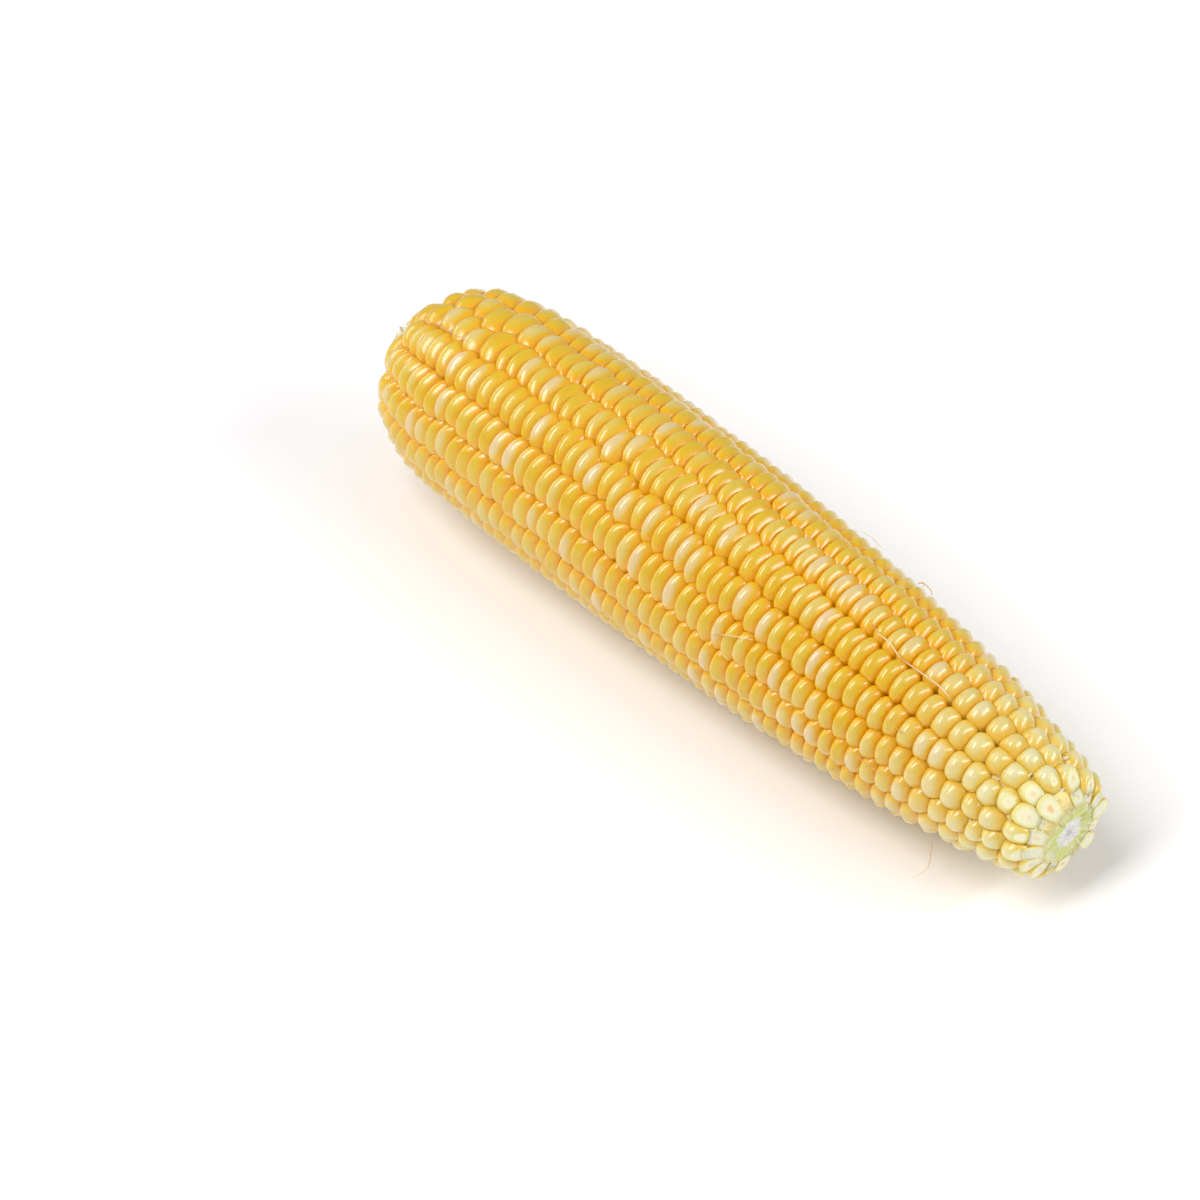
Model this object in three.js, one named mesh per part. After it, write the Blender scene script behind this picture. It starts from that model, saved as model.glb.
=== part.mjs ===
// A husked ear of sweet corn, lying on its side on a level surface.
//
// The ear is a woody cob with sixteen rows of kernels on it. It was broken off its stalk at the thick
// end, the butt, and cut straight across near the thin end, the tip. The cob is one node and each row
// of kernels is another. Each kernel is a wedge with a ridge across its crown, and the ridge runs
// round the ear, because a kernel is wide around the ear and thin along it.
//
// Units are millimetres. +X runs from butt to tip, +Z is up, and the origin is on the surface below
// the middle of the ear.
import * as THREE from "three";

// Driving dimensions of the ear, over the crowns of its kernels.
const EAR_LENGTH = 195; // from the butt kernels to the cut across the tip
const EAR_RADIUS = 25; // at its widest
const WIDEST_AT = 56; // how far the widest place is from the butt
const BUTT_ROUNDING = { even: 0.08, steep: 0.71, power: 6 }; // how the crowns draw in towards the butt
const TIP_TAPER = { even: 0.32, steep: 0.17, power: 6 }; // how they draw in towards the tip
const BOW = 1.2; // how far the middle of the ear stands out to +Y from a straight line between its ends

// The cob under the kernels, and the stub of the stalk that it was broken from.
const COB_RADIUS = 14.2;
const COB_BUTT_TAPER = 0.64;
const COB_TIP_TAPER = { even: 0.3, steep: 0.22, power: 6 };
const STUB_LENGTH = 4.5; // how far the stub stands out past the butt kernels
const STUB_ROUNDING = 1.2;
const COB_SIDES = 32;
const COB_STEPS = 14;

// The kernels.
const ROWS = 16;
const KERNEL_PITCH = 3.58; // along the row, over most of the ear
const BUTT_GROWTH = { share: 0.2, from: 4, to: 16 }; // kernels on the butt are a little longer
const TIP_GROWTH = { share: 0.42, from: 125, to: 166 }; // and near the tip they are long and round
const TIP_SHRINK = { share: 0.2, from: 170, to: 186 }; // until the last, unripe ones
const PITCH_VARIATION = 0.09; // each kernel's own length, as a share either way
const GROOVE_DEPTH = 1.9; // from the crowns to where two kernels meet
const RIDGE_SHARE = 0.4; // the ridge's length as a share of the kernel's width
const WALL_GAP = 0.2; // from each row's wall to the plane between two rows
const ROOT_GAP = 0.5; // between the kernels' roots and the cob
const ROOT_START = 6; // the first root is this far along, because butt kernels lean backwards
const KERNELS_PER_ROOT_STEP = 3;

// Every second row stops short of the butt, and its neighbours widen to fill the space.
const SHORT_ROW = { closes: 5, opens: 11, starts: 7.5 };

// The grooves at the top of the ear stand this much towards -Y, so the rows on that side are narrower.
const ROW_CROWDING = THREE.MathUtils.degToRad(6);

// The rows turn a little around the ear on their way to the tip.
const TWIST = { angle: THREE.MathUtils.degToRad(17), from: 25, to: 160 };

// The ear lies on two rows, one each side of the lowest line, where its weight is.
const WEIGHT_AT = 86;

const { smoothstep, lerp } = THREE.MathUtils;
const HALF_ROW = Math.PI / ROWS;

/** The same number from 0 to 1 each time for a row and a place in it. */
function chance(row, place) {
  const wave = Math.sin(row * 12.9898 + place * 78.233) * 43758.5453;
  return wave - Math.floor(wave);
}

/** Radius over the crowns, at a distance along the ear from the butt. */
function crownRadius(along) {
  if (along < WIDEST_AT) {
    const v = (WIDEST_AT - along) / WIDEST_AT;
    const drop = BUTT_ROUNDING.even * v ** 2 + BUTT_ROUNDING.steep * v ** BUTT_ROUNDING.power;
    return EAR_RADIUS * Math.sqrt(1 - drop);
  }
  const u = (along - WIDEST_AT) / (EAR_LENGTH - WIDEST_AT);
  return EAR_RADIUS * (1 - TIP_TAPER.even * u ** 2 - TIP_TAPER.steep * u ** TIP_TAPER.power);
}

/** Radius of the bare cob at a distance along the ear. */
function cobRadius(along) {
  if (along < WIDEST_AT) {
    const v = Math.min((WIDEST_AT - along) / WIDEST_AT, 1);
    return COB_RADIUS * Math.sqrt(1 - COB_BUTT_TAPER * v ** 4);
  }
  const u = (along - WIDEST_AT) / (EAR_LENGTH - WIDEST_AT);
  return COB_RADIUS * (1 - COB_TIP_TAPER.even * u ** 2 - COB_TIP_TAPER.steep * u ** COB_TIP_TAPER.power);
}

/** The line of the crowns, with lengths measured on it, so that kernels can be stepped along it. */
function measureCrownLine() {
  const step = 0.1;
  const line = [{ along: 0, length: 0 }];
  for (let along = step; along < EAR_LENGTH + step / 2; along += step) {
    const rise = crownRadius(along) - crownRadius(along - step);
    line.push({ along, length: line.at(-1).length + Math.hypot(step, rise) });
  }
  return line;
}

const CROWN_LINE = measureCrownLine();
const CROWN_LENGTH = CROWN_LINE.at(-1).length;

/** Distance along the ear of a place whose length on the crown line is given. */
function alongAt(length) {
  let low = 0;
  let high = CROWN_LINE.length - 1;
  while (high - low > 1) {
    const middle = (low + high) >> 1;
    if (CROWN_LINE[middle].length > length) high = middle;
    else low = middle;
  }
  const [a, b] = [CROWN_LINE[low], CROWN_LINE[high]];
  return lerp(a.along, b.along, (length - a.length) / (b.length - a.length));
}

/** How long a kernel is along its row, before its own variation. */
function pitchAt(along) {
  const butt = BUTT_GROWTH.share * (1 - smoothstep(along, BUTT_GROWTH.from, BUTT_GROWTH.to));
  const tip = TIP_GROWTH.share * smoothstep(along, TIP_GROWTH.from, TIP_GROWTH.to);
  const last = TIP_SHRINK.share * smoothstep(along, TIP_SHRINK.from, TIP_SHRINK.to);
  return KERNEL_PITCH * (1 + butt + tip - last);
}

/** Lengths on the crown line at which a row's kernels meet. The cut goes through the last kernel. */
function kernelEdges(row) {
  const edges = [row % 2 ? SHORT_ROW.starts : 0];
  for (let place = 0; ; place++) {
    const varied = 1 + PITCH_VARIATION * (2 * chance(row, place) - 1);
    const next = edges.at(-1) + pitchAt(alongAt(edges.at(-1))) * varied;
    if (next > CROWN_LENGTH - pitchAt(EAR_LENGTH) / 4) break;
    edges.push(next);
  }
  return [...edges, CROWN_LENGTH];
}

/** Angle of the groove before a row, from the top towards -Y, where the rows have not turned. */
function fullGroove(row) {
  return 2 * row * HALF_ROW + ROW_CROWDING * Math.cos(row * HALF_ROW) ** 2;
}

/** Angle of the groove before a row at a length on the crown line, drawn together where a row ends. */
function groove(row, length) {
  const along = alongAt(length);
  const turned = smoothstep(along, TWIST.from, TWIST.to) - smoothstep(WEIGHT_AT, TWIST.from, TWIST.to);
  const shortRow = row - ((row + 1) % 2);
  const middle = (fullGroove(shortRow) + fullGroove(shortRow + 1)) / 2;
  const open = smoothstep(length, SHORT_ROW.closes, SHORT_ROW.opens);
  return lerp(middle, fullGroove(row), open) + TWIST.angle * turned;
}

/** How far the ear's middle line stands out sideways at a distance along the ear. */
function bow(along) {
  return BOW * (1 - ((2 * along) / EAR_LENGTH - 1) ** 2);
}

/** A point of the ear from its distance along, its radius and its angle. */
function earPoint(along, radius, angle) {
  return [along, bow(along) - radius * Math.sin(angle), radius * Math.cos(angle)];
}

/** Collects a solid's points and triangles. Faces are given anticlockwise as seen from outside. */
class Solid {
  positions = [];
  triangles = [];

  point(coordinates) {
    this.positions.push(...coordinates);
    return this.positions.length / 3 - 1;
  }

  face(first, ...rest) {
    for (let i = 0; i + 1 < rest.length; i++) this.triangles.push(first, rest[i], rest[i + 1]);
  }

  /** Fills the band between two lines of { point, at } whose points lie at different places. */
  band(left, right) {
    let [i, j] = [0, 0];
    while (i < left.length - 1 || j < right.length - 1) {
      const rightIsDone = j === right.length - 1;
      if (rightIsDone || (i < left.length - 1 && left[i + 1].at <= right[j + 1].at)) {
        this.face(left[i].point, right[j].point, left[++i].point);
      } else {
        this.face(left[i].point, right[j].point, right[++j].point);
      }
    }
  }

  geometry() {
    return new THREE.BufferGeometry()
      .setAttribute("position", new THREE.Float32BufferAttribute(this.positions, 3))
      .setIndex(this.triangles);
  }
}

/** One row of kernels: crowns on the outside, roots just clear of the cob. */
function kernelRow(row) {
  const solid = new Solid();
  const edges = kernelEdges(row);

  // A point on one of the row's walls: side is -1 or 1, and the radius is at the edge's place.
  const wallPoint = (length, along, radius, side) =>
    earPoint(along, radius, groove(side < 0 ? row : row + 1, length) - (side * WALL_GAP) / radius);
  const grooveLine = (side) =>
    edges.map((at) => {
      const along = alongAt(at);
      const radius = crownRadius(along) - GROOVE_DEPTH;
      return { at, point: solid.point(wallPoint(at, along, radius, side)) };
    });
  const rootLine = (side) =>
    edges
      .filter((_, i) => i % KERNELS_PER_ROOT_STEP === 0 || i === edges.length - 1)
      .map((at) => {
        const along = lerp(ROOT_START, EAR_LENGTH, at / CROWN_LENGTH);
        const halfAngle = (groove(row + 1, at) - groove(row, at)) / 2;
        const radius = (cobRadius(along) + ROOT_GAP) / Math.cos(halfAngle);
        return { at, point: solid.point(wallPoint(at, along, radius, side)) };
      });
  const [near, far] = [grooveLine(-1), grooveLine(1)];
  const [nearRoot, farRoot] = [rootLine(-1), rootLine(1)];

  // The crowns: each has a ridge, a slope each way along the row and a hip at each end of the ridge.
  for (let i = 0; i + 1 < edges.length; i++) {
    const isCut = i + 2 === edges.length;
    const middle = isCut ? edges[i + 1] : (edges[i] + edges[i + 1]) / 2;
    const along = alongAt(middle);
    const [a, b] = [0.5 - RIDGE_SHARE / 2, 0.5 + RIDGE_SHARE / 2].map((share) => {
      const angle = lerp(groove(row, middle), groove(row + 1, middle), share);
      return solid.point(earPoint(along, crownRadius(along), angle));
    });
    solid.face(near[i].point, far[i].point, b, a);
    solid.face(near[i].point, a, near[i + 1].point);
    solid.face(far[i].point, far[i + 1].point, b);
    const roots = isCut ? [farRoot.at(-1).point, nearRoot.at(-1).point] : [];
    solid.face(a, b, far[i + 1].point, ...roots, near[i + 1].point);
  }
  solid.band(nearRoot, near);
  solid.band(far, farRoot);
  solid.band(farRoot, nearRoot);
  solid.face(near[0].point, nearRoot[0].point, farRoot[0].point, far[0].point);
  return solid.geometry();
}

/** The cob, from the broken stub of the stalk to the cut across the tip. */
function cob() {
  const stub = cobRadius(0);
  const outline = [
    new THREE.Vector2(0, -STUB_LENGTH),
    new THREE.Vector2(stub - STUB_ROUNDING, -STUB_LENGTH),
    new THREE.Vector2(stub, STUB_ROUNDING - STUB_LENGTH),
  ];
  for (let i = 0; i <= COB_STEPS; i++) {
    const along = (EAR_LENGTH * i) / COB_STEPS;
    outline.push(new THREE.Vector2(cobRadius(along), along));
  }
  outline.push(new THREE.Vector2(0, EAR_LENGTH));
  const geometry = new THREE.LatheGeometry(outline, COB_SIDES).rotateZ(-Math.PI / 2);
  const { position } = geometry.attributes;
  for (let i = 0; i < position.count; i++) position.setY(i, position.getY(i) + bow(position.getX(i)));
  return geometry;
}

const kernelMaterial = new THREE.MeshStandardMaterial({ color: 0xf2c545, roughness: 0.35, metalness: 0 });
const cobMaterial = new THREE.MeshStandardMaterial({ color: 0xe6e8c4, roughness: 0.8, metalness: 0 });

/** A named mesh. */
function piece(name, geometry, material) {
  const mesh = new THREE.Mesh(geometry, material);
  mesh.name = name;
  return mesh;
}

const ear = new THREE.Group();
ear.add(piece("cob_core", cob(), cobMaterial));
for (let row = 0; row < ROWS; row++) {
  ear.add(piece(`kernel_row_${String(row + 1).padStart(2, "0")}`, kernelRow(row), kernelMaterial));
}

// The ear tilts until its lowest line is level below its weight, and then it is set on the surface.
ear.rotation.y = Math.atan(crownRadius(WEIGHT_AT - 0.5) - crownRadius(WEIGHT_AT + 0.5));
ear.updateMatrixWorld(true);
const box = new THREE.Box3().setFromObject(ear, true);
ear.position.set(-(box.min.x + box.max.x) / 2, -(box.min.y + box.max.y) / 2, -box.min.z);

const part = new THREE.Group();
part.add(ear);

export default part;
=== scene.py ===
"""A husked ear of sweet corn on a studio table.

The ear is worked out in a space of its own, in millimetres: x runs along the ear from its butt to the
cut across its tip, and angles go round it from the top towards -Y. An EarForm holds its outline. An
EarRuler carries that outline on a straight line, along which a kernel is as wide as it is everywhere
else, so kernels can be set out on flat ground and wrapped round the ear afterwards. An EarPlace then
brings the finished meshes into the frame, in metres.
"""

import logging
import math
from dataclasses import dataclass, field, replace
from enum import Enum
from typing import Callable, Iterable, Sequence

import bmesh
import bpy
import numpy as np
from mathutils import Matrix, Vector


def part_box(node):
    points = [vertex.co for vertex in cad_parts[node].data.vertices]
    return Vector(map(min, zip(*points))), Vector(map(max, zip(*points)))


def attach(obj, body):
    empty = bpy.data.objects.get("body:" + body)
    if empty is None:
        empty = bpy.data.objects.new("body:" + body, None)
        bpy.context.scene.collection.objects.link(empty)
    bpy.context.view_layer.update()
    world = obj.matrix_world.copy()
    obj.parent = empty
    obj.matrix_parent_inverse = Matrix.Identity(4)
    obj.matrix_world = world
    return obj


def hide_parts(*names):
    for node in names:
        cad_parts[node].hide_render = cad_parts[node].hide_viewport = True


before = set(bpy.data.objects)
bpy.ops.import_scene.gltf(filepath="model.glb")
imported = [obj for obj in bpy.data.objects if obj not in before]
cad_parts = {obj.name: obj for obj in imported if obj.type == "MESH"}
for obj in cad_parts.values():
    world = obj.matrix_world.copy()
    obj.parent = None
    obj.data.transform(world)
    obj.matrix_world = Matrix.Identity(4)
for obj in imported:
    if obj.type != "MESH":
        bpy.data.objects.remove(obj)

log = logging.getLogger("corn")

METRES_PER_MM = 0.001
TAU = 2.0 * math.pi
Numbers = np.ndarray | float
Colour = tuple[float, float, float, float]


class Slot(Enum):
    """Names of two material slots."""

    KERNEL = "kernel"
    COB = "cob"


# -------- Arithmetic --------


def smoothstep(value: Numbers, low: float, high: float) -> Numbers:
    """Rises smoothly from 0 at low to 1 at high."""
    t = np.clip((value - low) / (high - low), 0.0, 1.0)
    return t * t * (3.0 - 2.0 * t)


def lerp(a: Numbers, b: Numbers, share: Numbers) -> Numbers:
    """The value at a share of the way from a to b."""
    return a + (b - a) * share


def chance(row: float, place: float) -> float:
    """Gives the same number from 0 to 1 each time for a row and a place in it.

    Its factors only scatter the sine, so that neighbours get unlike numbers.
    """
    wave = math.sin(row * 12.9898 + place * 78.233) * 43758.5453
    return wave - math.floor(wave)


def linear(red: int, green: int, blue: int) -> Colour:
    """Turns a display colour, each part from 0 to 255, into the linear colour that shaders take.

    Args:
        red: The red part.
        green: The green part.
        blue: The blue part.

    Returns:
        The colour, opaque.
    """
    # The curve is that of the sRGB standard: straight near black, a power of 2.4 above it.
    parts = [c / 255.0 for c in (red, green, blue)]
    return (*[c / 12.92 if c <= 0.04045 else ((c + 0.055) / 1.055) ** 2.4 for c in parts], 1.0)


# -------- Node graphs --------


class Wire:
    """A node's output. Its operators add math nodes, so a formula of nodes reads as a formula."""

    def __init__(self, graph: "Graph", socket: bpy.types.NodeSocket) -> None:
        """Remembers the output and the graph that it is in."""
        self.graph = graph
        self.socket = socket

    def __add__(self, other: "Wire | float") -> "Wire":
        """Adds two numbers."""
        return self.graph.math("ADD", self, other)

    __radd__ = __add__

    def __mul__(self, other: "Wire | float") -> "Wire":
        """Multiplies two numbers."""
        return self.graph.math("MULTIPLY", self, other)

    __rmul__ = __mul__

    def __sub__(self, other: "Wire | float") -> "Wire":
        """Takes the second number from the first."""
        return self.graph.math("SUBTRACT", self, other)

    def __rsub__(self, other: float) -> "Wire":
        """Takes this number from a plain one."""
        return self.graph.math("SUBTRACT", other, self)

    def __truediv__(self, other: "Wire | float") -> "Wire":
        """Divides the first number by the second."""
        return self.graph.math("DIVIDE", self, other)

    def __pow__(self, power: float) -> "Wire":
        """Raises the number to a power."""
        return self.graph.math("POWER", self, power)


class Graph:
    """Adds nodes to a tree and wires them."""

    def __init__(self, tree: bpy.types.NodeTree) -> None:
        """Takes the tree that nodes are added to."""
        self.tree = tree

    def node(self, kind: str, inputs: dict | None = None, **settings: object) -> bpy.types.Node:
        """Adds a node.

        Args:
            kind: The node's type.
            inputs: Its inputs' names or numbers, each with a wire or a plain value.
            settings: Its properties.

        Returns:
            The node.
        """
        made = self.tree.nodes.new(kind)
        for name, value in settings.items():
            setattr(made, name, value)
        for key, value in (inputs or {}).items():
            self.feed(made.inputs[key], value)
        return made

    def feed(self, socket: bpy.types.NodeSocket, value: object) -> None:
        """Wires a value to an input, or sets the input to it.

        Args:
            socket: The input.
            value: A wire or a plain value.
        """
        if isinstance(value, Wire):
            self.tree.links.new(value.socket, socket)
        else:
            socket.default_value = value

    def out(self, kind: str, output: str | int, inputs: dict | None = None, **settings: object) -> Wire:
        """Adds a node and gives one of its outputs."""
        return Wire(self, self.node(kind, inputs, **settings).outputs[output])

    def math(self, operation: str, *values: Wire | float) -> Wire:
        """Adds a math node on one, two or three numbers."""
        return self.out("ShaderNodeMath", 0, dict(enumerate(values)), operation=operation)

    def vector(self, operation: str, *values: object) -> Wire:
        """Adds a vector math node that gives a vector."""
        return self.out("ShaderNodeVectorMath", 0, dict(enumerate(values)), operation=operation)

    def size(self, vector: Wire) -> Wire:
        """The length of a vector."""
        return self.out("ShaderNodeVectorMath", "Value", {0: vector}, operation="LENGTH")

    def scaled(self, vector: Wire, scale: Wire | float) -> Wire:
        """A vector times a number."""
        return self.out("ShaderNodeVectorMath", 0, {0: vector, "Scale": scale}, operation="SCALE")

    def combine(self, x: Wire | float, y: Wire | float, z: Wire | float) -> Wire:
        """A vector from its parts."""
        return self.out("ShaderNodeCombineXYZ", 0, {0: x, 1: y, 2: z})

    def split(self, vector: Wire) -> tuple[Wire, Wire, Wire]:
        """A vector's parts."""
        made = self.node("ShaderNodeSeparateXYZ", {0: vector})
        return tuple(Wire(self, output) for output in made.outputs)

    def mixed(self, share: Wire | float, a: Wire, b: Wire) -> Wire:
        """The vector at a share of the way from a to b."""
        return self.vector("ADD", a, self.scaled(self.vector("SUBTRACT", b, a), share))

    def between(self, value: Wire, low: float, high: float) -> Wire:
        """Rises smoothly from 0 at low to 1 at high."""
        inputs = {"Value": value, "From Min": low, "From Max": high}
        return self.out("ShaderNodeMapRange", 0, inputs, interpolation_type="SMOOTHSTEP")


class ShapeGraph(Graph):
    """A graph of geometry nodes with named inputs."""

    def __init__(self, name: str, sockets: dict[str, str]) -> None:
        """Starts a tree that takes and gives geometry.

        Args:
            name: The tree's name.
            sockets: Further inputs, each name with its socket type.
        """
        super().__init__(bpy.data.node_groups.new(name, "GeometryNodeTree"))
        face = self.tree.interface
        face.new_socket("Geometry", in_out="INPUT", socket_type="NodeSocketGeometry")
        for label, kind in sockets.items():
            face.new_socket(label, in_out="INPUT", socket_type=kind)
        face.new_socket("Geometry", in_out="OUTPUT", socket_type="NodeSocketGeometry")
        self.entry = self.node("NodeGroupInput")
        self.exit = self.node("NodeGroupOutput")

    def given(self, name: str) -> Wire:
        """One of the tree's own inputs."""
        return Wire(self, self.entry.outputs[name])

    def mesh_of(self, name: str) -> Wire:
        """The geometry of the object that one of the tree's own inputs names."""
        return self.out("GeometryNodeObjectInfo", "Geometry", {"Object": self.given(name)})

    def attribute(self, name: str, kind: str = "FLOAT") -> Wire:
        """Reads a named attribute."""
        return self.out("GeometryNodeInputNamedAttribute", 0, {"Name": name}, data_type=kind)

    def store(self, geometry: Wire, name: str, value: Wire, kind: str = "FLOAT") -> Wire:
        """Stores a value on each point under a name.

        Args:
            geometry: What to store on.
            name: The attribute's name.
            value: The value.
            kind: Its data type.

        Returns:
            The geometry with the attribute.
        """
        inputs = {"Geometry": geometry, "Name": name, "Value": value}
        settings = {"data_type": kind, "domain": "POINT"}
        return self.out("GeometryNodeStoreNamedAttribute", 0, inputs, **settings)

    def finish(self, geometry: Wire) -> None:
        """Ends the tree: makes instances real, shades smoothly and sets the finish.

        Args:
            geometry: What the tree has made.
        """
        real = self.out("GeometryNodeRealizeInstances", 0, {"Geometry": geometry})
        smooth = self.out("GeometryNodeSetShadeSmooth", 0, {"Geometry": real})
        inputs = {"Geometry": smooth, "Material": self.given("Finish")}
        self.feed(self.exit.inputs[0], self.out("GeometryNodeSetMaterial", 0, inputs))

    def grow(self, name: str, guide: bpy.types.Mesh, values: dict[str, object]) -> bpy.types.Object:
        """Runs the tree on a guide mesh and keeps the result as a plain mesh.

        Args:
            name: The piece's name.
            guide: The mesh that the tree takes.
            values: The tree's inputs by name.

        Returns:
            The piece, with no modifier on it.
        """
        carrier = add_object(name + "_guide", guide)
        modifier = carrier.modifiers.new("grow", "NODES")
        modifier.node_group = self.tree
        for item in self.tree.interface.items_tree:
            if item.in_out == "INPUT" and item.name in values:
                modifier[item.identifier] = values[item.name]
        bpy.context.view_layer.update()
        depsgraph = bpy.context.evaluated_depsgraph_get()
        mesh = bpy.data.meshes.new_from_object(carrier.evaluated_get(depsgraph))
        mesh.name = name
        mesh.materials.clear()
        mesh.materials.append(values["Finish"])
        mesh.polygons.foreach_set("material_index", [0] * len(mesh.polygons))
        carrier.modifiers.clear()
        bpy.data.objects.remove(carrier)
        return add_object(name, mesh)


def add_object(name: str, data: bpy.types.ID | None) -> bpy.types.Object:
    """Makes an object of some data and puts it in the scene.

    Args:
        name: The object's name.
        data: What it holds.

    Returns:
        The object.
    """
    made = bpy.data.objects.new(name, data)
    bpy.context.scene.collection.objects.link(made)
    return made


def add_mesh(
    name: str,
    points: Sequence[Sequence[float]],
    edges: Sequence[Sequence[int]] = (),
    faces: Sequence[Sequence[int]] = (),
    attributes: dict[str, np.ndarray] | None = None,
) -> bpy.types.Mesh:
    """Makes a mesh that carries attributes on its points.

    Args:
        name: The mesh's name.
        points: Its points.
        edges: Pairs of point numbers.
        faces: Lists of point numbers, anticlockwise as seen from outside.
        attributes: Each name with one number or one vector for each point.

    Returns:
        The mesh.
    """
    mesh = bpy.data.meshes.new(name)
    mesh.from_pydata([tuple(p) for p in points], [tuple(e) for e in edges], [tuple(f) for f in faces])
    for label, values in (attributes or {}).items():
        flat = np.asarray(values, np.float32)
        if flat.ndim == 2:
            mesh.attributes.new(label, "FLOAT_VECTOR", "POINT").data.foreach_set("vector", flat.ravel())
        else:
            mesh.attributes.new(label, "FLOAT", "POINT").data.foreach_set("value", flat)
    return mesh


def face_outwards(mesh: bpy.types.Mesh) -> None:
    """Turns every face of a closed mesh outwards.

    Args:
        mesh: The mesh, changed in place.
    """
    body = bmesh.new()
    body.from_mesh(mesh)
    bmesh.ops.recalc_face_normals(body, faces=body.faces)
    body.to_mesh(mesh)
    body.free()


# -------- The ear's form --------


@dataclass(frozen=True)
class EarForm:
    """The outline of the ear over its kernels, and of the cob under them, in millimetres."""

    length: float = 195.0
    radius: float = 25.0
    widest_at: float = 56.0
    butt_even: float = 0.08
    butt_steep: float = 0.71
    tip_even: float = 0.32
    tip_steep: float = 0.17
    bow_height: float = 1.2
    cob_radius: float = 14.2
    cob_butt: float = 0.64
    cob_tip_even: float = 0.30
    cob_tip_steep: float = 0.22
    root_start: float = 6.0
    root_gap: float = 0.25
    stub_length: float = 4.5
    stub_rounding: float = 1.2
    weight_at: float = 86.0
    twist: float = math.radians(17.0)
    twist_from: float = 25.0
    twist_to: float = 160.0

    def shares(self, along: Numbers) -> tuple[Numbers, Numbers]:
        """How far a place is from the widest one, as a share of the way to the butt and to the cut.

        Args:
            along: Distance along the ear from its butt.

        Returns:
            The share towards the butt and the one towards the cut; one of them is 0.
        """
        butt = np.clip((self.widest_at - along) / self.widest_at, 0.0, 1.0)
        tip = np.clip((along - self.widest_at) / (self.length - self.widest_at), 0.0, None)
        return butt, tip

    def crown(self, along: Numbers) -> Numbers:
        """Radius over the kernels' crowns.

        Args:
            along: Distance along the ear from its butt.

        Returns:
            The radius.
        """
        v, u = self.shares(along)
        butt = np.sqrt(1.0 - self.butt_even * v**2 - self.butt_steep * v**6)
        return self.radius * butt * (1.0 - self.tip_even * u**2 - self.tip_steep * u**6)

    def cob(self, along: Numbers) -> Numbers:
        """Radius of the bare cob.

        Args:
            along: Distance along the ear from its butt.

        Returns:
            The radius.
        """
        v, u = self.shares(along)
        butt = np.sqrt(1.0 - self.cob_butt * v**4)
        return self.cob_radius * butt * (1.0 - self.cob_tip_even * u**2 - self.cob_tip_steep * u**6)

    def bow(self, along: Numbers) -> Numbers:
        """How far the ear's middle line stands out sideways."""
        return self.bow_height * (1.0 - (2.0 * along / self.length - 1.0) ** 2)

    def turn(self, along: Numbers) -> Numbers:
        """How far the rows have turned round the ear."""
        here = smoothstep(along, self.twist_from, self.twist_to)
        return self.twist * (here - smoothstep(self.weight_at, self.twist_from, self.twist_to))

    def point(self, along: float, radius: float, angle: float) -> Vector:
        """A point of the ear's own space."""
        bow = float(self.bow(along))
        return Vector((along, bow - radius * math.sin(angle), radius * math.cos(angle)))


class EarPlace:
    """Brings the ear's own space into the frame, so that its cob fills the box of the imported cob."""

    SIDES = 32
    STEPS = 14

    def __init__(self, form: EarForm) -> None:
        """Tilts the ear until its lowest line is level below its weight, and finds its place.

        Args:
            form: The ear's outline.
        """
        self.form = form
        edge = form.weight_at + np.array([-0.5, 0.5])
        fall = float(np.subtract(*form.crown(edge)))
        self.tilt = Matrix.Rotation(math.atan(fall), 4, "Y") @ Matrix.Scale(METRES_PER_MM, 4)
        own = np.array([self.tilt @ p for p in self.cob_outline()])
        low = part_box("cob_core")[0]
        self.matrix = Matrix.Translation(low - Vector(own.min(0))) @ self.tilt

    def cob_outline(self) -> Iterable[Vector]:
        """Points round the cob from the end of its stub to the cut.

        Returns:
            The points, ring by ring.
        """
        stub = float(self.form.cob(0.0))
        end, rounding = -self.form.stub_length, self.form.stub_rounding
        stations = [(end, stub - rounding), (end + rounding, stub)]
        for i in range(self.STEPS + 1):
            along = self.form.length * i / self.STEPS
            stations.append((along, float(self.form.cob(along))))
        for along, radius in stations:
            for side in range(self.SIDES):
                yield self.form.point(along, radius, TAU * side / self.SIDES)

    def settle(self, piece: bpy.types.Object) -> None:
        """Moves a piece's mesh from the ear's own space into the frame."""
        piece.data.transform(self.matrix)
        piece.data.update()


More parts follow.
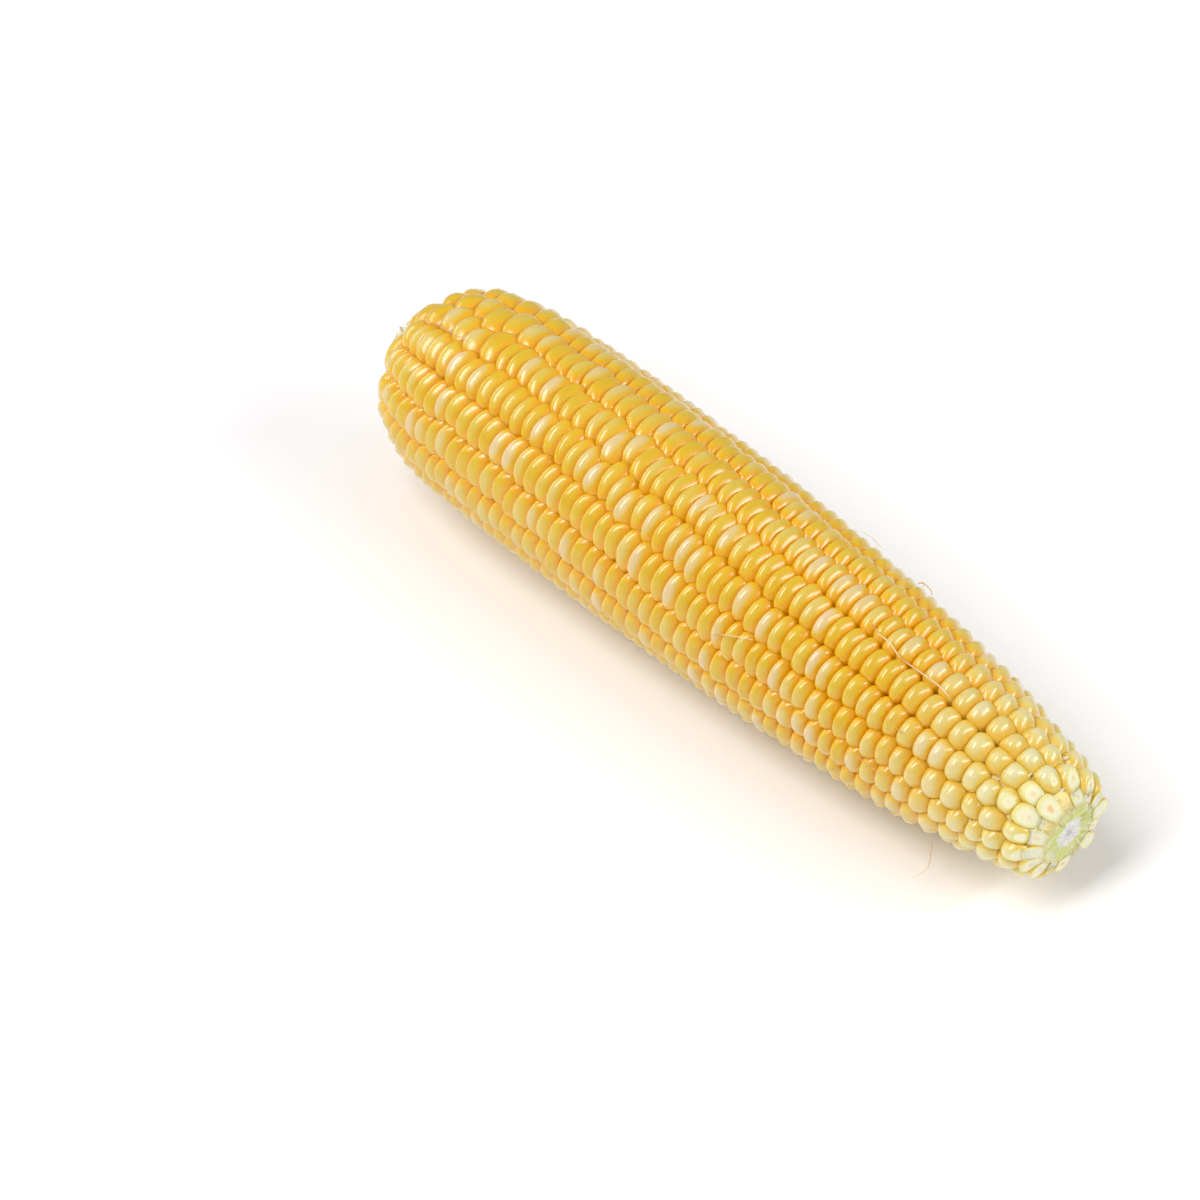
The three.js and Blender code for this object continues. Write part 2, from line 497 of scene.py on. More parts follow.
class EarRuler:
    """Carries the ear's outline on a straight line, as evenly as kernels are set out on it."""

    STEP = 0.1
    POINTS = 400
    INTERLOCK = 0.68
    PAST_CUT = 7.0

    def __init__(self, form: EarForm, pitch: Callable[[Numbers], Numbers], rows: int) -> None:
        """Measures the crown line.

        Args:
            form: The ear's outline.
            pitch: How long a kernel is along its row, at a distance along the ear.
            rows: How many rows of kernels the ear has.
        """
        self.form = form
        self.along = np.arange(0.0, form.length + self.PAST_CUT, self.STEP)
        crown = form.crown(self.along)
        self.length = np.concatenate([[0.0], np.cumsum(np.hypot(self.STEP, np.diff(crown)))])
        width = TAU * crown / rows
        plumpness = (width / pitch(self.along)) ** self.INTERLOCK
        rate = plumpness * form.radius / crown
        middle = (rate[1:] + rate[:-1]) / 2.0
        self.mark = np.concatenate([[0.0], np.cumsum(middle * np.diff(self.length))])
        self.cut_length = float(np.interp(form.length, self.along, self.length))

    def along_at(self, length: float) -> float:
        """Distance along the ear of a place whose length on the crown line is given."""
        return float(np.interp(length, self.length, self.along))

    def mark_at(self, length: float) -> float:
        """Mark on the ruler of a place whose length on the crown line is given."""
        return float(np.interp(length, self.length, self.mark))

    def mesh(self) -> bpy.types.Mesh:
        """A straight line of points that carry the outline of the crowns and of the roots.

        Returns:
            The line, as a mesh of edges.
        """
        marks = np.linspace(0.0, self.mark[-1], self.POINTS)
        along = np.interp(marks, self.mark, self.along)
        length = np.interp(marks, self.mark, self.length)
        root = lerp(self.form.root_start, self.form.length, length / self.cut_length)
        crowns = np.stack([along, self.form.crown(along), self.form.bow(along)], 1)
        root_radius = self.form.cob(root) + self.form.root_gap
        roots = np.stack([root, root_radius, self.form.bow(root)], 1)
        points = np.stack([marks, 0.0 * marks, 0.0 * marks], 1)
        edges = [(i, i + 1) for i in range(self.POINTS - 1)]
        attributes = {"crown": crowns, "root": roots, "turn": self.form.turn(along)}
        return add_mesh("ear_ruler", points, edges, (), attributes)


# -------- Finishes --------


class Finish:
    """A material under construction."""

    def __init__(self, name: str) -> None:
        """Starts a material with a principled shader.

        Args:
            name: The material's name.
        """
        self.material = bpy.data.materials.new(name)
        self.material.use_nodes = True
        self.graph = Graph(self.material.node_tree)
        self.shader = self.material.node_tree.nodes["Principled BSDF"]

    def set(self, **values: object) -> None:
        """Sets the shader's inputs; an underscore in a name stands for a space."""
        for name, value in values.items():
            self.graph.feed(self.shader.inputs[name.replace("_", " ")], value)

    def attribute(self, name: str) -> Wire:
        """A number that the mesh carries."""
        return self.graph.out("ShaderNodeAttribute", "Fac", attribute_name=name)

    def place(self) -> Wire:
        """Where a point of the object is, in metres."""
        return self.graph.out("ShaderNodeTexCoord", "Object")

    def noise(self, scale: float, detail: float = 3.0, vector: Wire | None = None) -> Wire:
        """Noise with a number of swells to the metre."""
        inputs = {"Vector": vector or self.place(), "Scale": scale, "Detail": detail}
        return self.graph.out("ShaderNodeTexNoise", "Fac", inputs)

    def blend(self, share: Wire | float, a: object, b: object) -> Wire:
        """The colour at a share of the way from a to b.

        Args:
            share: The share.
            a: The colour at 0.
            b: The colour at 1.

        Returns:
            The colour.
        """
        made = self.graph.node("ShaderNodeMix", {"Factor": share}, data_type="RGBA", clamp_factor=True)
        sockets = {s.identifier: s for s in made.inputs}
        self.graph.feed(sockets["A_Color"], a)
        self.graph.feed(sockets["B_Color"], b)
        return Wire(self.graph, {s.identifier: s for s in made.outputs}["Result_Color"])

    def ramp(self, value: Wire, stops: Sequence[tuple[float, Sequence[float]]]) -> Wire:
        """A colour that follows a number through a row of stops.

        Args:
            value: The number.
            stops: Each stop from 0 to 1 with its colour.

        Returns:
            The colour.
        """
        made = self.graph.node("ShaderNodeValToRGB", {"Fac": value})
        elements = made.color_ramp.elements
        while len(elements) < len(stops):
            elements.new(0.5)
        for element, (position, colour) in zip(elements, stops):
            element.position = position
            element.color = colour
        return Wire(self.graph, made.outputs["Color"])

    def bump(self, height: Wire, distance: float, strength: float = 1.0) -> None:
        """Adds fine relief, its distance in metres."""
        inputs = {"Height": height, "Distance": distance, "Strength": strength}
        self.set(Normal=self.graph.out("ShaderNodeBump", "Normal", inputs))


@dataclass(frozen=True)
class KernelSkin:
    """The taut waxy skin of a kernel over milky flesh, with amber shade and glow painted down its
    flanks and into its seams.
    """

    deep: Colour = linear(216, 176, 12)
    golden: Colour = linear(216, 185, 46)
    light: Colour = linear(217, 193, 98)
    cream: Colour = linear(221, 198, 150)
    # The flank and seam colours are painted shade and glow: a deeper amber laid on each kernel's lower
    # sides and in the seams between kernels, in place of the saturated light in the grooves.
    flank: Colour = linear(222, 184, 16)
    seam_shade: Colour = linear(232, 172, 5)
    unripe: Colour = linear(223, 216, 170)
    unripe_flank_shade: Colour = linear(222, 208, 132)
    unripe_seam_shade: Colour = linear(228, 197, 86)
    roughness: float = 0.34
    flesh_depth: float = 0.0012
    relief: float = 0.00002
    mottle: float = 0.35
    mottle_scale: float = 380.0
    relief_scale: float = 900.0
    pale_lift: float = 0.3
    flank_shade_depth: tuple[float, float] = (0.2, 1.4)
    seam_shade_depth: tuple[float, float] = (1.2, 2.2)

    def build(self) -> bpy.types.Material:
        """Makes the material.

        Returns:
            The material.
        """
        finish = Finish("kernel_skin")
        graph = finish.graph
        mottle = (finish.noise(self.mottle_scale, 2.0) - 0.5) * self.mottle
        tone = finish.attribute("tone")
        stops = [(0.0, self.deep), (0.35, self.golden), (0.65, self.light), (1.0, self.cream)]
        crown = finish.ramp(tone + mottle, stops)
        unripe = finish.attribute("unripe")
        crown = finish.blend(unripe, crown, self.unripe)
        # Painted shade and glow: by depth below the crown, the colour turns a deeper amber down each
        # kernel's flanks and deepest in its seams. Pale kernels keep their crown colour further down.
        flank = finish.blend(unripe, self.flank, self.unripe_flank_shade)
        seam_shade = finish.blend(unripe, self.seam_shade, self.unripe_seam_shade)
        depth = finish.attribute("depth")
        flank_shade_share = graph.between(depth - tone * self.pale_lift, *self.flank_shade_depth)
        seam_shade_share = graph.between(depth, *self.seam_shade_depth)
        finish.set(Base_Color=finish.blend(seam_shade_share, finish.blend(flank_shade_share, crown, flank), seam_shade))
        finish.set(Roughness=self.roughness, IOR=1.45, Coat_Weight=0.9, Coat_Roughness=0.2)
        finish.set(Subsurface_Weight=0.6, Subsurface_Scale=self.flesh_depth)
        finish.set(Subsurface_Radius=(1.0, 0.78, 0.4))
        finish.bump(finish.noise(self.relief_scale), self.relief)
        return finish.material


@dataclass(frozen=True)
class CutFlesh:
    """A kernel's flesh where the knife went through it: clear skin, pale milk, a tan germ."""

    rind: Colour = linear(228, 222, 146)
    flesh: Colour = linear(242, 237, 200)
    germ: Colour = linear(236, 184, 110)
    streak_scale: float = 1500.0
    germ_scale: float = 150.0
    relief: float = 0.00012

    def build(self) -> bpy.types.Material:
        """Makes the material.

        Returns:
            The material.
        """
        finish = Finish("cut_flesh")
        graph = finish.graph
        streak = finish.noise(self.streak_scale)
        inward = finish.attribute("core") + (streak - 0.5) * 0.25
        body = finish.blend(graph.between(inward, 0.02, 0.4), self.rind, self.flesh)
        has_germ = graph.between(finish.noise(self.germ_scale, 1.0), 0.42, 0.6)
        heart = graph.between(inward, 0.62, 0.85) * has_germ
        finish.set(Base_Color=finish.blend(heart * 0.8, body, self.germ))
        finish.set(Roughness=0.25, Subsurface_Weight=0.5, Subsurface_Scale=0.002)
        finish.set(Subsurface_Radius=(1.0, 0.9, 0.45))
        finish.bump(streak, self.relief)
        return finish.material


@dataclass(frozen=True)
class CobWood:
    """The cob: a papery bed, a green ring and white pith on the cut, and a straw-coloured stub."""

    bed: Colour = linear(250, 228, 156)
    pith: Colour = linear(243, 240, 236)
    ring: Colour = linear(218, 221, 134)
    rim: Colour = linear(230, 232, 176)
    straw: Colour = linear(240, 232, 208)
    bark: Colour = linear(222, 204, 166)
    pith_radius: float = 3.4
    ring_radius: float = 5.5
    ray_scale: float = 7.0
    speckle_scale: float = 1300.0
    relief: float = 0.0004

    def build(self) -> bpy.types.Material:
        """Makes the material.

        Returns:
            The material.
        """
        finish = Finish("cob_wood")
        graph = finish.graph
        from_axis = finish.attribute("from_axis")
        spoke = graph.out("ShaderNodeAttribute", "Vector", attribute_name="spoke")
        rays = finish.noise(self.ray_scale, 4.0, spoke)
        speckle = finish.noise(self.speckle_scale, 4.0)
        ragged = from_axis + (rays - 0.5) * 4.5 + (speckle - 0.5) * 1.8
        inner = graph.between(ragged, self.pith_radius - 0.5, self.pith_radius + 0.5)
        outer = graph.between(ragged, self.ring_radius, self.ring_radius + 1.4)
        face = finish.blend(outer, finish.blend(inner, self.pith, self.ring), self.rim)
        face = finish.blend(graph.between(rays, 0.5, 0.75) * 0.6, face, self.pith)
        stub = finish.blend(graph.between(speckle, 0.4, 0.7), self.bark, self.straw)
        ends = finish.blend(finish.attribute("butt_end"), face, stub)
        cut = finish.attribute("cut_end") + finish.attribute("butt_end")
        finish.set(Base_Color=finish.blend(cut, self.bed, ends))
        finish.set(Roughness=0.55, Subsurface_Weight=0.3, Subsurface_Scale=0.0015)
        finish.set(Subsurface_Radius=(1.0, 0.9, 0.6))
        finish.bump(rays + speckle, self.relief)
        return finish.material


@dataclass(frozen=True)
class Chaff:
    """The papery scales that the kernels grow from: thin, dull and almost white."""

    paper: Colour = linear(248, 244, 228)
    tinge: Colour = linear(226, 228, 168)
    streak_scale: float = 700.0

    def build(self) -> bpy.types.Material:
        """Makes the material.

        Returns:
            The material.
        """
        finish = Finish("chaff")
        streak = finish.noise(self.streak_scale)
        tint = finish.graph.between(streak, 0.4, 0.7)
        finish.set(Base_Color=finish.blend(tint, self.paper, self.tinge))
        finish.set(Roughness=0.5, IOR=1.4)
        return finish.material


@dataclass(frozen=True)
class SilkStrand:
    """Dry silk, pale with browner patches."""

    pale: Colour = linear(236, 214, 168)
    brown: Colour = linear(186, 136, 70)
    tint_scale: float = 120.0

    def build(self) -> bpy.types.Material:
        """Makes the material.

        Returns:
            The material.
        """
        finish = Finish("silk_strand")
        tint = finish.graph.between(finish.noise(self.tint_scale, 2.0), 0.35, 0.75)
        finish.set(Base_Color=finish.blend(tint, self.pale, self.brown))
        finish.set(Roughness=0.42, Subsurface_Weight=0.15, Subsurface_Scale=0.0004)
        return finish.material


# -------- The kernels --------


@dataclass(frozen=True)
class Oddity:
    """A kernel that grew out of line with its row."""

    row: int
    along: float
    sideways: float
    growth: float


@dataclass(frozen=True)
class Kernel:
    """Where one kernel sits on the ruler, and how it turned out."""

    row: int
    mark: float
    across: float
    half_length: float
    half_width: float
    tone: float
    unripe: float
    lowered: float

    def once_round(self, turns: float) -> "Kernel":
        """The same kernel met again after some turns round the ear."""
        return replace(self, across=self.across + turns)


@dataclass(frozen=True)
class KernelPlan:
    """Sets the kernels out in rows. Lengths are in millimetres, on the ear.

    Rows are numbered from the top towards -Y, so the last ones lie just behind the top. A tone runs
    from 0, deep golden, to 1, cream.
    """

    rows: int = 16
    pitch: float = 3.5
    pitch_variation: float = 0.13
    butt_growth: float = 0.2
    butt_growth_from: float = 4.0
    butt_growth_to: float = 16.0
    shoulder_rows: tuple[int, ...] = (13, 14, 15, 0)
    shoulder_growth: float = 0.4
    shoulder_end: float = 30.0
    tip_growth: float = 0.36
    tip_growth_from: float = 134.0
    tip_growth_to: float = 184.0
    short_row_start: float = 7.5
    crowding: float = math.radians(6.0)
    round_from: float = 160.0
    round_to: float = 184.0
    unripe_from: float = 148.0
    unripe_to: float = 189.0
    pale_share: float = 0.12
    tone_middle: float = 0.46
    tone_spread: float = 0.2
    stray_across: tuple[float, float] = (0.45, 0.6)
    stray_along: tuple[float, float] = (0.25, 0.7)
    fill_along: tuple[float, float] = (1.2, 1.4)
    fill_across: tuple[float, float] = (1.42, 1.32)
    sunk: float = 0.12
    sunk_late: float = 0.6
    open_width: float = 1.9
    open_from: float = 5.0
    open_to: float = 12.0
    past_cut: float = 4.0
    tone_limits: tuple[float, float] = (0.08, 0.8)
    pale_tones: tuple[float, float] = (0.82, 1.0)
    deep_tones: tuple[float, float] = (0.0, 0.12)
    ripening_varies: tuple[float, float] = (0.7, 1.25)
    spot_reach: float = 0.55
    oddity_reach: float = 0.5
    gap_reach: float = 0.6
    lean_from: float = 45.0
    lean_to: float = 88.0
    butt_lean: dict[int, float] = field(default_factory=lambda: {15: 2.1, 14: 1.7, 0: 0.5})
    seed: int = 5
    oddities: tuple[Oddity, ...] = (
        Oddity(0, 14.0, -1.2, 1.1),
        Oddity(0, 24.0, 1.6, 1.2),
        Oddity(0, 28.5, -0.7, 1.2),
        Oddity(15, 9.0, 1.0, 1.2),
        Oddity(15, 15.0, -1.6, 1.1),
        Oddity(15, 21.0, 1.4, 1.2),
        Oddity(15, 27.5, -0.8, 1.2),
        Oddity(14, 17.0, 1.5, 1.2),
        Oddity(14, 26.0, -1.0, 1.2),
        Oddity(0, 64.0, -0.8, 1.2),
        Oddity(0, 67.5, 2.4, 1.15),
        Oddity(0, 71.5, -1.2, 1.35),
        Oddity(1, 68.0, 1.3, 1.25),
        Oddity(1, 71.5, -0.6, 1.2),
        Oddity(1, 79.0, 1.4, 1.3),
        Oddity(1, 82.5, -0.5, 1.2),
        Oddity(15, 73.0, -0.5, 1.45),
        Oddity(15, 50.0, -0.5, 1.35),
        Oddity(1, 115.0, -0.4, 1.3),
        Oddity(1, 130.0, -0.6, 1.25),
        Oddity(1, 133.5, 1.2, 1.25),
        Oddity(2, 135.0, -0.6, 1.3),
        Oddity(2, 139.0, -0.4, 1.3),
        Oddity(3, 137.0, -1.2, 1.1),
        Oddity(3, 55.0, 0.7, 1.2),
        Oddity(6, 70.0, 1.3, 1.35),
        Oddity(9, 118.0, -1.2, 1.3),
        Oddity(12, 90.0, 1.2, 1.35),
    )
    missing: tuple[tuple[int, float], ...] = ((7, 184.0), (11, 187.0))
    pale: dict[int, tuple[float, ...]] = field(default_factory=lambda: {
        0: (38.0, 46.0, 67.5, 71.5, 92.0, 104.0, 133.0),
        1: (24.0, 31.0, 52.0, 68.0, 79.0, 86.0, 97.0, 114.0, 122.0, 137.0, 163.0, 170.0),
        2: (26.0, 44.0, 48.0, 87.0, 97.0, 111.0, 130.0),
        3: (20.0, 68.0, 112.0, 137.0, 141.0, 150.0, 163.0),
        14: (33.0, 42.0, 73.0, 103.0),
        15: (73.0, 121.0, 130.0, 134.0, 150.0, 157.0, 170.0),
    })
    deep: dict[int, tuple[float, ...]] = field(default_factory=lambda: {
        0: (48.0, 75.0, 119.0, 145.0, 163.0),
        1: (34.0, 48.0, 88.0, 130.0),
        2: (40.0, 66.0, 72.0, 121.0),
        3: (53.0, 75.0, 120.0, 169.0),
        14: (62.0, 120.0),
        15: (52.0, 87.0, 100.0, 142.0, 153.0, 185.0),
    })

    def pitch_at(self, along: Numbers) -> Numbers:
        """How long a kernel is along its row, before its own variation.

        Args:
            along: Distance along the ear from its butt.

        Returns:
            The length.
        """
        butt = self.butt_growth * (1.0 - smoothstep(along, self.butt_growth_from, self.butt_growth_to))
        tip = self.tip_growth * smoothstep(along, self.tip_growth_from, self.tip_growth_to)
        return self.pitch * (1.0 + butt + tip)

    def groove(self, row: float) -> float:
        """Angle of the groove before a row, where the rows have not turned."""
        half_row = math.pi / self.rows
        return 2.0 * row * half_row + self.crowding * math.cos(row * half_row) ** 2

    def wander(self, row: int, along: float) -> float:
        """How far a row strays sideways: all rows sway, and the top ones lean over at the butt.

        Args:
            row: The row's number.
            along: Distance along the ear from its butt.

        Returns:
            The distance round the ear.
        """
        sway = 0.3 * math.sin(along / 17.0 + row * 0.55) + 0.2 * math.sin(along / 6.1 + row * 1.9)
        upright = float(smoothstep(along, self.lean_from, self.lean_to))
        return sway + self.butt_lean.get(row, 0.0) * (1.0 - upright)

    def edges(self, row: int, ruler: EarRuler) -> list[float]:
        """Lengths on the crown line at which a row's kernels meet, to a little past the cut.

        Args:
            row: The row's number.
            ruler: The ear's ruler.

        Returns:
            The lengths, from the butt on.
        """
        edges = [self.short_row_start if row % 2 else 0.0]
        place = 0
        while edges[-1] < ruler.length[-1] - self.past_cut:
            varied = 1.0 + self.pitch_variation * (2.0 * chance(row, place) - 1.0)
            along = ruler.along_at(edges[-1])
            step = float(self.pitch_at(along)) * varied
            if row in self.shoulder_rows and along < self.shoulder_end:
                step *= 1.0 + self.shoulder_growth
            edges.append(edges[-1] + step)
            place += 1
        return edges

    def tone(self, row: int, along: float, rng: np.random.Generator) -> float:
        """How pale a kernel is.

        Args:
            row: The row's number.
            along: Distance along the ear from its butt.
            rng: The row's own random numbers.

        Returns:
            The tone, from 0 to 1.
        """
        reach = self.pitch * self.spot_reach
        plain = float(np.clip(rng.normal(self.tone_middle, self.tone_spread), *self.tone_limits))
        pale = rng.uniform(*self.pale_tones)
        if row in self.pale:
            if min(abs(along - spot) for spot in self.pale[row]) < reach:
                return pale
            if min(abs(along - spot) for spot in self.deep[row]) < reach:
                return rng.uniform(*self.deep_tones)
            return plain
        return pale if rng.random() < self.pale_share else plain

    def row_kernels(self, row: int, ruler: EarRuler) -> list[Kernel]:
        """The kernels of one row.

        Args:
            row: The row's number.
            ruler: The ear's ruler.

        Returns:
            The kernels from the butt to a little past the cut.
        """
        rng = np.random.default_rng(self.seed * 100 + row)
        radius = ruler.form.radius
        middle = (self.groove(row) + self.groove(row + 1)) / 2.0 * radius
        half_width = (self.groove(row + 1) - self.groove(row)) / 2.0 * radius
        edges = self.edges(row, ruler)
        kernels = []
        for start, end in zip(edges, edges[1:]):
            along = ruler.along_at((start + end) / 2.0)
            low, high = ruler.mark_at(start), ruler.mark_at(end)
            late = float(smoothstep(along, self.round_from, self.round_to))
            across = middle + self.wander(row, along) + rng.normal(0.0, lerp(*self.stray_across, late))
            mark = (low + high) / 2.0 + rng.normal(0.0, lerp(*self.stray_along, late))
            tone = self.tone(row, along, rng)
            ripening = float(smoothstep(along, self.unripe_from, self.unripe_to))
            unripe = float(np.clip(ripening * rng.uniform(*self.ripening_varies), 0.0, 1.0))
            lowered = abs(rng.normal(0.0, self.sunk)) + late * rng.uniform(0.0, self.sunk_late)
            closed = float(smoothstep(start, self.open_from, self.open_to))
            open_end = lerp(self.open_width, 1.0, closed) if row % 2 == 0 else 1.0
            growth = 1.0
            for oddity in self.oddities:
                if oddity.row == row and abs(oddity.along - along) < self.pitch * self.oddity_reach:
                    across += oddity.sideways
                    growth = oddity.growth
            half_length = (high - low) / 2.0 * growth * lerp(*self.fill_along, late)
            width = half_width * open_end * lerp(*self.fill_across, late)
            gaps = [spot for bare, spot in self.missing if bare == row]
            if not any(abs(along - spot) < self.pitch * self.gap_reach for spot in gaps):
                kernels.append(Kernel(row, mark, across, half_length, width, tone, unripe, lowered))
        return kernels


def kernel_points(kernels: Sequence[Kernel], name: str) -> bpy.types.Mesh:
    """One point for each kernel, on the ruler, with what the kernel is like.

    Args:
        kernels: The kernels.
        name: The mesh's name.

    Returns:
        The mesh.
    """
    points = np.array([(k.mark, k.across, 0.0) for k in kernels])
    halves = np.array([(k.half_length, k.half_width, 0.0) for k in kernels])
    attributes = {"centre": points, "half_size": halves, "place": np.arange(len(points))}
    for label in ("tone", "unripe", "lowered"):
        attributes[label] = np.array([getattr(k, label) for k in kernels])
    return add_mesh(name, points, (), (), attributes)


@dataclass
class KernelRows:
    """All the kernels: each swells from its root until it meets its neighbours."""

    form: EarForm
    place: EarPlace
    plan: KernelPlan
    skin: bpy.types.Material
    flesh: bpy.types.Material
    plain_half_length: float = 2.1
    flank_drop: float = 2.05
    end_drop: float = 2.2
    roundness: float = 2.3
    overlap: float = 1.15
    rounding: float = 0.15
    least_bulk: float = 0.8
    most_bulk: float = 1.4
    dome_along: float = 0.72
    dome_across: float = 0.68
    top_share: float = 0.9
    top_layer: float = 0.9
    root_pinch: float = 0.06
    touch: float = 0.001
    search_steps: int = 8
    cage_cuts: tuple[int, int, int] = (4, 6, 4)
    ruler: EarRuler = field(init=False)

    def __post_init__(self) -> None:
        """Measures the ear."""
        self.ruler = EarRuler(self.form, self.plan.pitch_at, self.plan.rows)

    def swollen(self, graph: ShapeGraph, geometry: Wire, way: Wire) -> Wire:
        """Finds how far each point can go before another kernel's centre is nearer than its own.

        Args:
            graph: The graph to add to.
            geometry: The cages of all kernels.
            way: From the kernel's centre to its nominal edge.

        Returns:
            The cages, with that share of the way stored as "reach".
        """
        start = graph.store(geometry, "reach", graph.math("ADD", 1.0, 0.0))
        entry = graph.node("GeometryNodeRepeatInput", {"Iterations": self.search_steps})
        leave = graph.node("GeometryNodeRepeatOutput")
        entry.pair_with_output(leave)
        leave.repeat_items.new("FLOAT", "Step")
        graph.feed(entry.inputs["Geometry"], start)
        graph.feed(entry.inputs["Step"], 0.5)
        step = Wire(graph, entry.outputs["Step"])
        everything = graph.mesh_of("All Kernels")
        reach = graph.attribute("reach")
        offset = graph.scaled(way, reach)
        spot = graph.vector("ADD", graph.attribute("centre", "FLOAT_VECTOR"), offset)
        inputs = {"Geometry": everything, "Sample Position": spot}
        nearest = graph.out("GeometryNodeProximity", "Distance", inputs, target_element="POINTS")
        is_own = graph.math("LESS_THAN", graph.size(offset) - self.touch, nearest)
        moved = reach + step * (is_own * 2.0 - 1.0)
        stored = graph.store(Wire(graph, entry.outputs["Geometry"]), "reach", moved)
        graph.feed(leave.inputs["Geometry"], stored)
        graph.feed(leave.inputs["Step"], step * 0.5)
        return Wire(graph, leave.outputs["Geometry"])

    def sampled(self, graph: ShapeGraph, mark: Wire, name: str, kind: str = "FLOAT_VECTOR") -> Wire:
        """Reads what the ruler carries under a name at a mark.

        Args:
            graph: The graph to add to.
            mark: The mark.
            name: The attribute's name.
            kind: Its data type.

        Returns:
            What it is there.
        """
        made = graph.node("GeometryNodeSampleCurve", data_type=kind, mode="FACTOR")
        curve = graph.out("GeometryNodeMeshToCurve", 0, {"Mesh": graph.mesh_of("Ruler")})
        graph.feed(made.inputs["Curves"], curve)
        graph.feed(made.inputs["Value"], graph.attribute(name, kind))
        graph.feed(made.inputs["Factor"], mark / float(self.ruler.mark[-1]))
        return Wire(graph, made.outputs["Value"])

    def tree(self) -> ShapeGraph:
        """Builds the node tree that grows a row of kernels on its guide points.

        Returns:
            The graph.
        """
        sockets = {
            "All Kernels": "NodeSocketObject",
            "Ruler": "NodeSocketObject",
            "Flank Drop": "NodeSocketFloat",
            "End Drop": "NodeSocketFloat",
            "Roundness": "NodeSocketFloat",
            "Finish": "NodeSocketMaterial",
        }
        graph = ShapeGraph("Kernels on a cob", sockets)
        cuts = dict(zip(("Vertices X", "Vertices Y", "Vertices Z"), self.cage_cuts))
        cube = graph.out("GeometryNodeMeshCube", 0, {"Size": (2.0, 2.0, 2.0), **cuts})
        cube = graph.store(cube, "cage", graph.out("GeometryNodeInputPosition", 0), "FLOAT_VECTOR")
        inputs = {"Points": graph.given("Geometry"), "Instance": cube}
        instances = graph.out("GeometryNodeInstanceOnPoints", 0, inputs)
        cages = graph.out("GeometryNodeRealizeInstances", 0, {"Geometry": instances})

        # The cage is a block. Seen from above, its square is drawn out into a disc.
        x, y, z = graph.split(graph.attribute("cage", "FLOAT_VECTOR"))
        disc_x = x * graph.math("SQRT", 1.0 - y * y * 0.5)
        disc_y = y * graph.math("SQRT", 1.0 - x * x * 0.5)
        from_middle = graph.math("SQRT", disc_x * disc_x + disc_y * disc_y)
        ahead = disc_x / from_middle
        aside = disc_y / from_middle
        half_length, half_width, _ = graph.split(graph.attribute("half_size", "FLOAT_VECTOR"))
        way = graph.combine(ahead * half_length, aside * half_width, 0.0)
        cages = self.swollen(graph, cages, way)

        # A kernel fills its share of the ground, or its own rounded outline where there is room.
        bend = graph.given("Roundness")
        own = graph.math("POWER", graph.math("ABSOLUTE", ahead), bend)
        own = own + graph.math("POWER", graph.math("ABSOLUTE", aside), bend)
        own_reach = graph.math("POWER", own, graph.math("DIVIDE", -1.0, bend))
        shared = graph.attribute("reach") * self.overlap
        reach = graph.math("SMOOTH_MIN", shared, own_reach, self.rounding)

        # The cage's four layers, at z = 1, 1/3, -1/3 and -1, become a dome, a shoulder, a flank
        # pressed against the neighbours, and a root.
        is_top = graph.math("GREATER_THAN", z, self.top_layer)
        down = graph.math("MAXIMUM", ((1.0 - z) * 0.5 - 1.0 / 3.0) * 1.5, 0.0)
        flank_drop = graph.given("Flank Drop")
        drop = flank_drop + (graph.given("End Drop") - flank_drop) * aside * aside
        bulk = graph.math("MAXIMUM", half_length / self.plain_half_length, self.least_bulk)
        drop = drop * graph.math("MINIMUM", bulk, self.most_bulk)
        dome = drop * (disc_x * disc_x * self.dome_along + disc_y * disc_y * self.dome_across)
        top_spread = from_middle * self.top_share
        side_spread = from_middle * (1.0 - down * down * self.root_pinch)
        spread = side_spread + (top_spread - side_spread) * is_top
        centre = graph.attribute("centre", "FLOAT_VECTOR")
        spot = graph.vector("ADD", centre, graph.scaled(way, reach * spread))
        mark, across, _ = graph.split(spot)
        crown = self.sampled(graph, mark, "crown")
        root = self.sampled(graph, mark, "root")
        turn = self.sampled(graph, mark, "turn", "FLOAT")
        total = graph.size(graph.vector("SUBTRACT", crown, root))
        flank = drop + (total - drop) * down
        depth = flank + (dome - flank) * is_top + graph.attribute("lowered") * (1.0 - down)
        line = graph.mixed(depth / total, crown, root)
        along, radius, bow = graph.split(line)
        angle = across / self.form.radius + turn
        sine, cosine = graph.math("SINE", angle), graph.math("COSINE", angle)
        final = graph.combine(along, bow - radius * sine, radius * cosine)
        cages = graph.store(cages, "depth", depth)
        inputs = {"Geometry": cages, "Position": final}
        placed = graph.out("GeometryNodeSetPosition", 0, inputs)
        smooth = graph.out("GeometryNodeSubdivisionSurface", 0, {"Mesh": placed, "Level": 1})
        graph.finish(smooth)
        return graph

